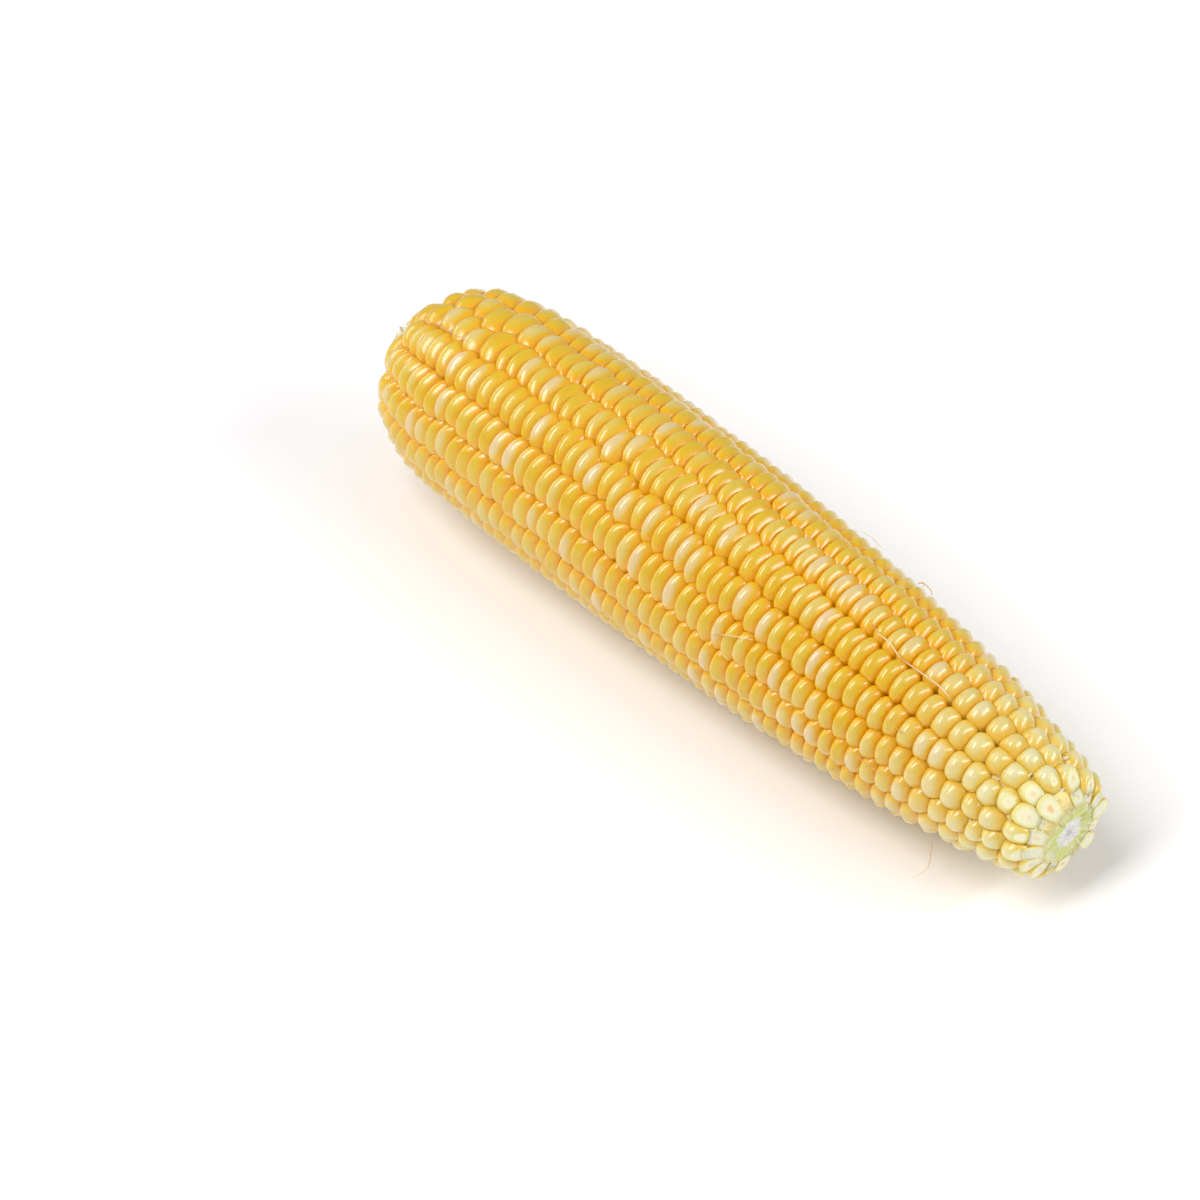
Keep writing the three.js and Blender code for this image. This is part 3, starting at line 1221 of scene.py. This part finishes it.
    def build(self) -> list[bpy.types.Object]:
        """Grows every row.

        Returns:
            One piece for each row, in the frame.
        """
        rows = [self.plan.row_kernels(row, self.ruler) for row in range(self.plan.rows)]
        turn = TAU * self.form.radius
        again = [k.once_round(turn) for k in rows[0] + rows[1]]
        again += [k.once_round(-turn) for k in rows[-1] + rows[-2]]
        everyone = [k for row in rows for k in row] + again
        everything = add_object("all_kernels", kernel_points(everyone, "all_kernels"))
        ruler = add_object("ear_ruler", self.ruler.mesh())
        graph = self.tree()
        values = {
            "All Kernels": everything,
            "Ruler": ruler,
            "Flank Drop": self.flank_drop,
            "End Drop": self.end_drop,
            "Roundness": self.roundness,
            "Finish": self.skin,
        }
        pieces = []
        for row, kernels in enumerate(rows):
            name = f"kernels_{row + 1:02d}"
            piece = graph.grow(name, kernel_points(kernels, name), values)
            piece.data.materials.append(self.flesh)
            TipCut(self.form, row).apply(piece.data)
            face_outwards(piece.data)
            for spare in ("reach", "cage", "centre", "half_size", "lowered", "place"):
                piece.data.attributes.remove(piece.data.attributes[spare])
            self.place.settle(piece)
            pieces.append(piece)
            log.info("%s: %d kernels, %d faces", name, len(kernels), len(piece.data.polygons))
        for helper in (everything, ruler):
            bpy.data.objects.remove(helper)
        return pieces


@dataclass(frozen=True)
class TipCut:
    """Cuts a row at the tip. The knife slanted and tore, so each kernel ends on a plane of its own."""

    form: EarForm
    row: int
    reach: float = 15.0
    slant: float = math.radians(45.0)
    steepest: Vector = field(default_factory=lambda: Vector((0.0, -0.6, 0.8)))
    spared: Vector = field(default_factory=lambda: Vector((0.0, 0.47, -0.88)))
    spared_within: float = 0.95
    slant_varies: tuple[float, float] = (0.75, 1.1)
    slant_added: tuple[float, float] = (0.0, 0.2)
    set_back: tuple[float, float] = (0.0, 0.8)
    pushed_back: float = 2.5
    pivot_radius: float = 7.0
    thinnest: float = 0.4
    seed: int = 900

    def apply(self, mesh: bpy.types.Mesh) -> None:
        """Cuts the row's kernels and drops what lies past the cut.

        Args:
            mesh: The row, in the ear's own space.
        """
        rng = np.random.default_rng(self.seed + self.row)
        body = bmesh.new()
        body.from_mesh(mesh)
        place = body.verts.layers.float["place"]
        core = body.verts.layers.float.new("core")
        kernels: dict[int, list] = {}
        for vert in body.verts:
            if vert.co.x > self.form.length - self.reach:
                kernels.setdefault(round(vert[place]), []).append(vert)
        for verts in kernels.values():
            middle = sum((v.co for v in verts), Vector()) / len(verts)
            middle.y -= float(self.form.bow(middle.x))
            outward = Vector((0.0, middle.y, middle.z)).normalized()
            facing = max(0.0, outward.dot(self.steepest))
            slant = self.slant * facing**0.5 * rng.uniform(*self.slant_varies)
            slant += rng.uniform(*self.slant_added)
            back = rng.uniform(*self.set_back)
            if outward.dot(self.spared) > self.spared_within:
                over = max(v.co.x for v in verts) - self.form.length
                if over < self.pushed_back:
                    for vert in verts:
                        vert.co.x -= max(over, 0.0)
                    continue
            pivot = Vector((self.form.length - back, 0.0, 0.0)) + outward * self.pivot_radius
            normal = Vector((math.cos(slant), 0.0, 0.0)) + outward * math.sin(slant)
            self.slice(body, verts, pivot, normal, core)
        for vert in [v for v in body.verts if v.co.x > self.form.length]:
            vert.co.x = self.form.length
        body.to_mesh(mesh)
        body.free()

    def slice(
        self,
        body: bmesh.types.BMesh,
        verts: list,
        point: Vector,
        normal: Vector,
        core: bmesh.types.BMLayerItem,
    ) -> None:
        """Cuts one kernel with a plane and closes it.

        Args:
            body: The row's mesh.
            verts: The kernel's points.
            point: A point on the plane.
            normal: The side that is taken away.
            core: The layer that is 1 in the middle of a cut face and 0 at its rim.
        """
        sides = [(v.co - point).dot(normal) for v in verts]
        if max(sides) <= 0.0:
            return
        if min(sides) > -self.thinnest:
            bmesh.ops.delete(body, geom=verts, context="VERTS")
            return
        faces = {f for v in verts for f in v.link_faces}
        edges = {e for v in verts for e in v.link_edges}
        geometry = [*verts, *edges, *faces]
        cut = bmesh.ops.bisect_plane(
            body, geom=geometry, plane_co=point, plane_no=normal, clear_outer=True, dist=1e-5
        )
        rim = [g for g in cut["geom_cut"] if isinstance(g, bmesh.types.BMEdge) and g.is_boundary]
        if not rim:
            return
        caps = bmesh.ops.edgeloop_fill(body, edges=rim)["faces"]
        for cap in caps:
            if cap.normal.dot(normal) < 0.0:
                cap.normal_flip()
        poked = bmesh.ops.poke(body, faces=caps)
        for vert in poked["verts"]:
            vert[core] = 1.0
        for face in poked["faces"]:
            face.material_index = 1
            face.smooth = False


# -------- The cob --------


@dataclass
class Cob:
    """The woody cob, with the cut face at its tip and the broken stub of its stalk."""

    form: EarForm
    place: EarPlace
    wood: bpy.types.Material
    sides: int = 96
    side_steps: int = 80
    stub_taper: float = 0.34
    bed_depth: float = 3.4
    bed_rise: tuple[float, float] = (170.0, 182.0)
    bed_fall: tuple[float, float] = (190.0, 195.4)
    face_rings: int = 14
    stub_edge: float = 0.6
    stub_bevel: float = 1.6
    roughness: float = 0.3
    seed: int = 3

    def side(self, along: float) -> float:
        """Radius of the bed that the kernels grow from: shallow at the tip, where they stand apart.

        Args:
            along: Distance along the ear from its butt. Less than 0 on the stub.

        Returns:
            The radius.
        """
        broken = max(-along, 0.0) / self.form.stub_length
        radius = float(self.form.cob(max(along, 0.0))) * (1.0 - self.stub_taper * broken)
        bed = float(self.form.crown(max(along, 0.0))) - self.bed_depth
        rise = float(smoothstep(along, *self.bed_rise))
        fall = float(smoothstep(along, *self.bed_fall))
        return lerp(radius, max(radius, bed), rise * (1.0 - fall))

    def stations(self) -> list[tuple[float, float, float, float]]:
        """The rings from the middle of the stub's end to the middle of the cut.

        Returns:
            For each ring its distance along, its radius, and how far it is on the stub and the cut.
        """
        form = self.form
        stub = self.side(-form.stub_length)
        rings = []
        for i in range(self.face_rings):
            share = (i + 1) / self.face_rings
            rings.append((share**6 - form.stub_length, (stub - self.stub_edge) * share, 1.0, 0.0))
        for i in range(self.side_steps + 1):
            along = lerp(self.stub_bevel - form.stub_length, form.length, i / self.side_steps)
            rings.append((along, self.side(along), 1.0 if along < 0.0 else 0.0, 0.0))
        tip = float(form.cob(form.length))
        for i in range(self.face_rings):
            rings.append((form.length, tip * (1.0 - i / self.face_rings), 0.0, 1.0))
        return rings

    def build(self) -> bpy.types.Object:
        """Makes the cob, in the frame.

        Returns:
            The piece.
        """
        rng = np.random.default_rng(self.seed)
        fibres = rng.normal(0.0, 1.0, (4, self.sides))
        points, from_axis, butt_end, cut_end, spokes = [], [], [], [], []
        rings = self.stations()
        for along, radius, butt, cut in rings:
            for side in range(self.sides):
                angle = TAU * side / self.sides
                lumps = math.sin(2.0 * angle + radius) + math.sin(5.0 * angle - 1.7 * radius + 1.0)
                frayed = 0.5 * fibres[0][side] * min(radius / 5.0, 1.0)
                rough = max(0.0, self.roughness * (1.0 + 0.35 * lumps + frayed))
                rough *= min(1.0, 3.0 * (1.0 - radius / 14.0))
                broken = butt if along < 1.0 - self.form.stub_length else 0.0
                inward = (broken - cut) * rough
                points.append(self.form.point(along + inward, radius, angle))
                from_axis.append(radius)
                butt_end.append(butt)
                cut_end.append(cut)
                spokes.append((math.sin(angle), math.cos(angle), 0.04 * radius))
        faces = []
        for ring in range(len(rings) - 1):
            for side in range(self.sides):
                a = ring * self.sides + side
                b = ring * self.sides + (side + 1) % self.sides
                faces.append((a, b, b + self.sides, a + self.sides))
        first, last = len(points), len(points) + 1
        points.append(self.form.point(-self.form.stub_length + 0.5, 0.0, 0.0))
        points.append(self.form.point(self.form.length - 0.3, 0.0, 0.0))
        from_axis += [0.0, 0.0]
        butt_end += [1.0, 0.0]
        cut_end += [0.0, 1.0]
        spokes += [(0.0, 0.0, 0.0), (0.0, 0.0, 0.0)]
        top = (len(rings) - 1) * self.sides
        for side in range(self.sides):
            after = (side + 1) % self.sides
            faces.append((first, after, side))
            faces.append((last, top + side, top + after))
        attributes = {
            "from_axis": np.array(from_axis),
            "butt_end": np.array(butt_end),
            "cut_end": np.array(cut_end),
            "spoke": np.array(spokes),
        }
        mesh = add_mesh("cob", points, (), faces, attributes)
        mesh.materials.append(self.wood)
        mesh.polygons.foreach_set("use_smooth", [True] * len(mesh.polygons))
        piece = add_object("cob", mesh)
        face_outwards(mesh)
        self.place.settle(piece)
        return piece


# -------- Chaff and silk --------


@dataclass(frozen=True)
class ScaleRing:
    """A belt of the ear where scales stand on the cob.

    Lengths are in millimetres. Each scale's length, width and lean lie between the two numbers given.
    """

    start: float
    end: float
    count: int
    length: tuple[float, float]
    width: tuple[float, float]
    lean: tuple[float, float]
    sunk: float = 0.4


@dataclass
class ChaffScales:
    """Papery scales: between the last kernels, torn up round the cut, and frayed round the stub."""

    form: EarForm
    place: EarPlace
    cob: Cob
    paper: bpy.types.Material
    seed: int = 21
    thickness: float = 0.09
    outline: tuple[float, ...] = (0.5, 0.92, 1.0, 0.7, 0.18)
    hollow: float = 0.18
    curl: float = 0.3
    depth_share: float = 0.6
    rings: tuple[ScaleRing, ...] = (
        ScaleRing(176.0, 190.0, 130, (1.0, 2.2), (1.0, 2.0), (0.4, 1.0)),
        ScaleRing(188.0, 193.0, 60, (0.8, 1.8), (1.0, 2.0), (1.0, 1.4), 0.3),
        ScaleRing(-2.0, 1.0, 50, (0.8, 1.8), (0.8, 1.6), (1.2, 1.5)),
    )

    def scale(self) -> bpy.types.Mesh:
        """One scale, a millimetre long and wide, hollowed like a boat, standing along +X.

        Returns:
            The mesh.
        """
        steps = len(self.outline) - 1
        points = []
        for layer in (0.0, self.thickness):
            for i, width in enumerate(self.outline):
                for side in (-1.0, 0.0, 1.0):
                    along = i / steps
                    height = self.hollow * (1.0 - side * side) - self.curl * along * along
                    points.append((along, 0.5 * width * side, height - layer))
        size = 3 * (steps + 1)
        faces = []
        for i in range(steps):
            for j in range(2):
                a = 3 * i + j
                faces.append((a, a + 3, a + 4, a + 1))
                faces.append((a + size, a + size + 1, a + size + 4, a + size + 3))
        rim = [0, 1, 2, 5, 8, 11, 14, 13, 12, 9, 6, 3]
        for a, b in zip(rim, rim[1:] + rim[:1]):
            faces.append((a, b, b + size, a + size))
        mesh = add_mesh("scale", points, (), faces)
        face_outwards(mesh)
        return mesh

    def guide(self) -> bpy.types.Mesh:
        """A point for each scale, which carries how the scale stands and how big it is.

        Returns:
            The mesh.
        """
        rng = np.random.default_rng(self.seed)
        points, facings, sizes = [], [], []
        for ring in self.rings:
            for _ in range(ring.count):
                along = rng.uniform(ring.start, ring.end)
                angle = rng.uniform(0.0, TAU)
                radius = self.cob.side(along) - ring.sunk
                outward = self.form.point(along, 1.0, angle) - self.form.point(along, 0.0, angle)
                lean = rng.uniform(*ring.lean) * (1.0 if along > self.form.length / 2.0 else -1.0)
                ahead = Vector((math.sin(lean), 0.0, 0.0)) + outward * math.cos(lean)
                face = Vector((1.0, rng.normal(0.0, 0.4), rng.normal(0.0, 0.4)))
                across = face.cross(ahead).normalized()
                turn = Matrix((ahead, across, ahead.cross(across))).transposed()
                points.append(self.form.point(along, radius, angle))
                facings.append(tuple(turn.to_euler()))
                length = rng.uniform(*ring.length)
                sizes.append((length, rng.uniform(*ring.width), length * self.depth_share))
        attributes = {"facing": np.array(facings), "size": np.array(sizes)}
        return add_mesh("scale_guide", points, (), (), attributes)

    def build(self) -> bpy.types.Object:
        """Makes the scales, in the frame.

        Returns:
            The piece.
        """
        sockets = {"Scale": "NodeSocketObject", "Finish": "NodeSocketMaterial"}
        graph = ShapeGraph("Scales on a cob", sockets)
        inputs = {
            "Points": graph.given("Geometry"),
            "Instance": graph.mesh_of("Scale"),
            "Rotation": graph.attribute("facing", "FLOAT_VECTOR"),
            "Scale": graph.attribute("size", "FLOAT_VECTOR"),
        }
        graph.finish(graph.out("GeometryNodeInstanceOnPoints", 0, inputs))
        helper = add_object("scale", self.scale())
        piece = graph.grow("chaff", self.guide(), {"Scale": helper, "Finish": self.paper})
        bpy.data.objects.remove(helper)
        for vert in piece.data.vertices:
            vert.co.x = min(vert.co.x, self.form.length)
            vert.co.x = max(vert.co.x, -self.form.stub_length)
        self.place.settle(piece)
        return piece


@dataclass(frozen=True)
class Strand:
    """A thread of silk.

    Its path is a row of stops, each with a distance along the ear, a row and share of that row, and a
    height over the crowns, all in millimetres but the row.
    """

    thickness: float
    path: tuple[tuple[float, float, float], ...]


@dataclass
class Silk:
    """Dry silk left in the grooves."""

    form: EarForm
    place: EarPlace
    plan: KernelPlan
    thread: bpy.types.Material
    steps: int = 12
    sides: int = 7
    end_share: float = 0.08
    strands: tuple[Strand, ...] = (
        Strand(0.17, ((141.0, 15.84, 0.1), (143.0, 15.92, 0.0), (146.5, 15.9, 0.1),
                      (150.5, 16.0, -0.7), (153.5, 15.97, -0.5), (158.5, 15.93, 0.0),
                      (162.0, 15.92, 0.1), (165.5, 16.0, -0.5))),
        Strand(0.12, ((113.3, 2.55, 0.15), (115.5, 2.38, 0.2), (118.0, 2.22, 0.2),
                      (122.5, 1.98, -0.2))),
        Strand(0.09, ((152.0, 2.86, 0.0), (156.0, 2.9, 0.1), (161.0, 2.94, 0.0))),
        Strand(0.11, ((136.0, 13.6, -0.3), (136.6, 13.55, 0.7), (137.6, 13.6, 0.9),
                      (138.0, 13.7, 0.1))),
        Strand(0.11, ((135.0, 13.4, -0.2), (136.8, 13.45, 0.6), (139.0, 13.4, 0.3),
                      (140.0, 13.5, -0.3))),
        Strand(0.08, ((117.0, 13.5, 0.1), (120.0, 13.4, 0.5), (124.0, 13.45, 0.1))),
        Strand(0.12, ((159.2, 1.52, -0.1), (160.0, 1.5, 0.35), (161.2, 1.52, 0.45))),
        Strand(0.1, ((10.0, 1.1, 0.1), (14.0, 1.02, -0.2), (20.0, 0.98, -0.4), (25.0, 0.95, 0.0))),
        Strand(0.09, ((170.3, 5.08, -0.3), (171.5, 5.21, 0.8), (172.6, 5.34, 3.4),
                      (172.6, 5.51, 5.4), (171.5, 5.62, 7.5), (170.5, 5.57, 9.1))),
        Strand(0.1, ((60.0, 9.0, -0.4), (68.0, 9.05, 0.0), (76.0, 8.95, 0.1), (84.0, 9.0, -0.4))),
        Strand(0.1, ((120.0, 11.0, -0.4), (128.0, 11.1, 0.1), (137.0, 10.9, -0.2))),
    )

    def angle(self, along: float, row: float) -> float:
        """Angle of a place in a row, where the rows have turned.

        Args:
            along: Distance along the ear from its butt.
            row: The row, with the share of it.

        Returns:
            The angle.
        """
        whole = math.floor(row)
        low, high = self.plan.groove(whole), self.plan.groove(whole + 1)
        return lerp(low, high, row - whole) + float(self.form.turn(along))

    def guide(self) -> bpy.types.Mesh:
        """The strands' middle lines, each point with its thickness there.

        Returns:
            The mesh.
        """
        points, edges, thickness = [], [], []
        for strand in self.strands:
            stops = np.array(strand.path)
            marks = np.linspace(0.0, len(stops) - 1.0, self.steps * (len(stops) - 1) + 1)
            smooth = [np.interp(marks, np.arange(len(stops)), column) for column in stops.T]
            kernel = np.hanning(self.steps + 1)
            kernel /= kernel.sum()
            half = self.steps // 2
            smooth = [np.convolve(np.pad(c, half, "edge"), kernel, "valid") for c in smooth]
            first = len(points)
            for i, (along, row, height) in enumerate(zip(*smooth)):
                radius = float(self.form.crown(along)) + height
                points.append(self.form.point(along, radius, self.angle(along, row)))
                share = lerp(self.end_share, 1.0 - self.end_share, i / (len(marks) - 1))
                taper = math.sin(math.pi * share) ** 0.5
                thickness.append(strand.thickness * taper)
            edges += [(i, i + 1) for i in range(first, len(points) - 1)]
        return add_mesh("silk_guide", points, edges, (), {"thickness": np.array(thickness)})

    def build(self) -> bpy.types.Object:
        """Makes the silk, in the frame.

        Returns:
            The piece.
        """
        sockets = {"Sides": "NodeSocketInt", "Finish": "NodeSocketMaterial"}
        graph = ShapeGraph("Threads along a path", sockets)
        curve = graph.out("GeometryNodeMeshToCurve", 0, {"Mesh": graph.given("Geometry")})
        profile = graph.node("GeometryNodeCurvePrimitiveCircle", {"Radius": 1.0})
        graph.feed(profile.inputs["Resolution"], graph.given("Sides"))
        inputs = {
            "Curve": curve,
            "Profile Curve": Wire(graph, profile.outputs["Curve"]),
            "Scale": graph.attribute("thickness"),
            "Fill Caps": True,
        }
        graph.finish(graph.out("GeometryNodeCurveToMesh", 0, inputs))
        piece = graph.grow("silk", self.guide(), {"Sides": self.sides, "Finish": self.thread})
        self.place.settle(piece)
        return piece


# -------- The studio --------


WARM_WHITE = (1.0, 0.97, 0.96)


@dataclass(frozen=True)
class Softbox:
    """A rectangular lamp that faces the ear.

    Its place is in metres from the ear, run is the way that its first side runs, size is its two sides.
    """

    name: str
    place: tuple[float, float, float]
    run: tuple[float, float, float]
    size: tuple[float, float]
    power: float
    colour: tuple[float, float, float] = (1.0, 1.0, 1.0)


@dataclass(frozen=True)
class Studio:
    """A pale table under three soft lamps, with the camera above the tip's side of the ear."""

    azimuth: float = math.radians(46.9)
    elevation: float = math.radians(44.0)
    distance: float = 1.0
    lens: float = 143.0
    aim: tuple[float, float, float] = (-0.0134, -0.0236, 0.022)
    sensor_width: float = 36.0
    nearest: float = 0.01
    table: Colour = linear(252, 253, 255)
    table_half: float = 3.0
    world_strength: float = 0.38
    lamps: tuple[Softbox, ...] = (
        Softbox("lamp_left", (0.0, -1.0, 1.5), (0.0, 0.0, 1.0), (1.3, 0.4), 19.0, WARM_WHITE),
        Softbox("lamp_window", (-1.5, -0.75, 1.07), (0.0, 0.81, 0.59), (1.5, 0.5), 11.0, WARM_WHITE),
        Softbox("lamp_right", (1.48, 0.9, 1.3), (0.32, -0.9, 0.29), (1.9, 0.2), 20.0),
    )

    def away(self) -> Vector:
        """From the ear towards the camera.

        Returns:
            A direction of length 1.
        """
        flat = math.cos(self.elevation)
        east = math.sin(self.azimuth) * flat
        south = -math.cos(self.azimuth) * flat
        return Vector((east, south, math.sin(self.elevation)))

    def camera(self) -> None:
        """Sets the camera up."""
        data = bpy.data.cameras.new("camera")
        data.lens = self.lens
        data.sensor_width = self.sensor_width
        data.clip_start = self.nearest
        camera = add_object("camera", data)
        camera.location = Vector(self.aim) + self.away() * self.distance
        camera.rotation_euler = self.away().to_track_quat("Z", "Y").to_euler()
        bpy.context.scene.camera = camera

    def lamp(self, lamp: Softbox) -> None:
        """Hangs a softbox so that it faces the ear.

        Args:
            lamp: The softbox.
        """
        data = bpy.data.lights.new(lamp.name, "AREA")
        data.shape = "RECTANGLE"
        data.size, data.size_y = lamp.size
        data.energy = lamp.power
        data.color = lamp.colour
        hung = add_object(lamp.name, data)
        away = Vector(lamp.place).normalized()
        side = (Vector(lamp.run) - away * away.dot(Vector(lamp.run))).normalized()
        turn = Matrix((side, away.cross(side), away)).transposed().to_4x4()
        hung.matrix_world = Matrix.Translation(lamp.place) @ turn

    def floor(self) -> None:
        """Lays the table."""
        half = self.table_half
        square = [(-half, -half, 0.0), (half, -half, 0.0), (half, half, 0.0), (-half, half, 0.0)]
        mesh = add_mesh("table", square, (), [(0, 1, 2, 3)])
        finish = Finish("pale_table")
        finish.set(Base_Color=self.table, Roughness=0.35)
        mesh.materials.append(finish.material)
        add_object("table", mesh)

    def build(self) -> None:
        """Sets up camera, table and light."""
        self.camera()
        self.floor()
        for lamp in self.lamps:
            self.lamp(lamp)
        world = bpy.data.worlds.new("studio")
        world.use_nodes = True
        background = world.node_tree.nodes["Background"]
        background.inputs["Color"].default_value = (1.0, 1.0, 1.0, 1.0)
        background.inputs["Strength"].default_value = self.world_strength
        bpy.context.scene.world = world
        bpy.context.scene.view_settings.view_transform = "Standard"


# -------- All together --------


def main() -> None:
    """Builds the ear and its studio, and hands each piece to the frame."""
    logging.basicConfig(level=logging.INFO, format="%(name)s: %(message)s")
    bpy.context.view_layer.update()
    Studio().build()
    form = EarForm()
    place = EarPlace(form)

    kernels = KernelRows(form, place, KernelPlan(), KernelSkin().build(), CutFlesh().build())
    for row, piece in enumerate(kernels.build()):
        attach(piece, "root")
        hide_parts(f"kernel_row_{row + 1:02d}")

    core = Cob(form, place, CobWood().build())
    cob = core.build()
    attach(cob, "root")
    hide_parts("cob_core")

    chaff = ChaffScales(form, place, core, Chaff().build()).build()
    silk = Silk(form, place, KernelPlan(), SilkStrand().build()).build()
    for piece in (chaff, silk):
        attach(piece, "root")
    for piece in (cob, chaff, silk):
        log.info("%s: %d faces", piece.name, len(piece.data.polygons))


if __name__ == "__main__":
    main()
